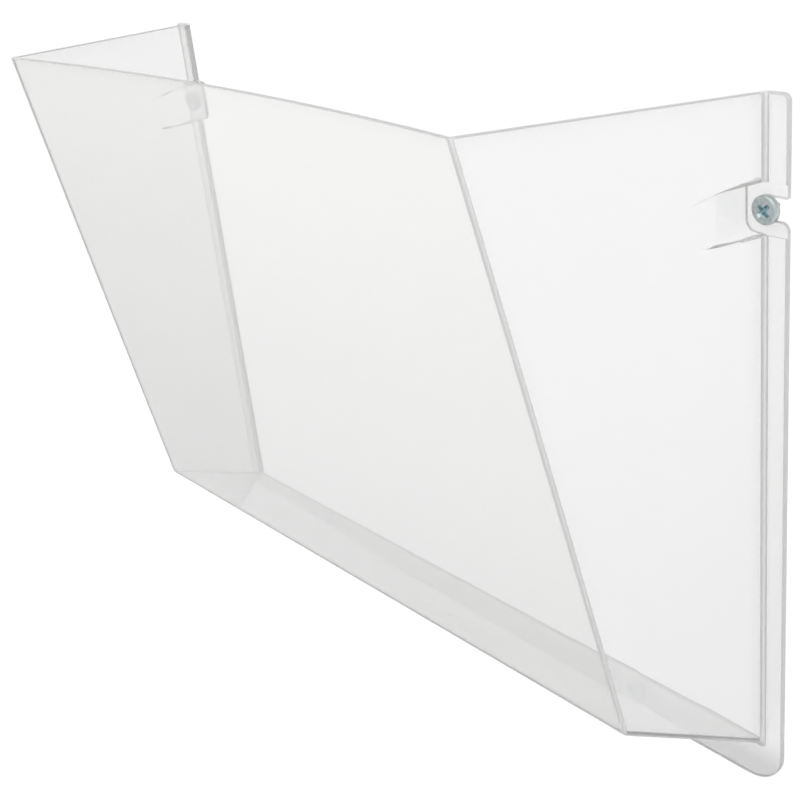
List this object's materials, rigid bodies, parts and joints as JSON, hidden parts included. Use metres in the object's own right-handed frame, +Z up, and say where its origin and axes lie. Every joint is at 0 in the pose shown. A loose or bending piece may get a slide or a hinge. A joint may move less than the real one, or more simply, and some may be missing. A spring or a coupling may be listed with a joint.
{
  "type": "wall-mounted magazine rack",
  "caption": "Clear moulded wall pocket for magazines, wider than tall, with a slanted front and floor, an open top and back, and a screw-down flange.",
  "frame": {"origin": "on the wall plane, which is the back of the flange, in the middle of the lower flange strip", "axes": "+X to the right as seen from the front, +Y into the wall, +Z up"},
  "size_m": [0.367, 0.1126, 0.2815],
  "materials": {
    "clear_plastic": "clear, glossy, very slightly milky injection-moulded polystyrene",
    "zinc_plated_steel": "bright zinc plate with a faint blue passivation tint"
  },
  "bodies": {
    "root": {"pocket": "clear_plastic", "upper_left_screw": "zinc_plated_steel", "upper_right_screw": "zinc_plated_steel", "lower_left_screw": "zinc_plated_steel", "lower_right_screw": "zinc_plated_steel"}
  },
  "joints": []
}
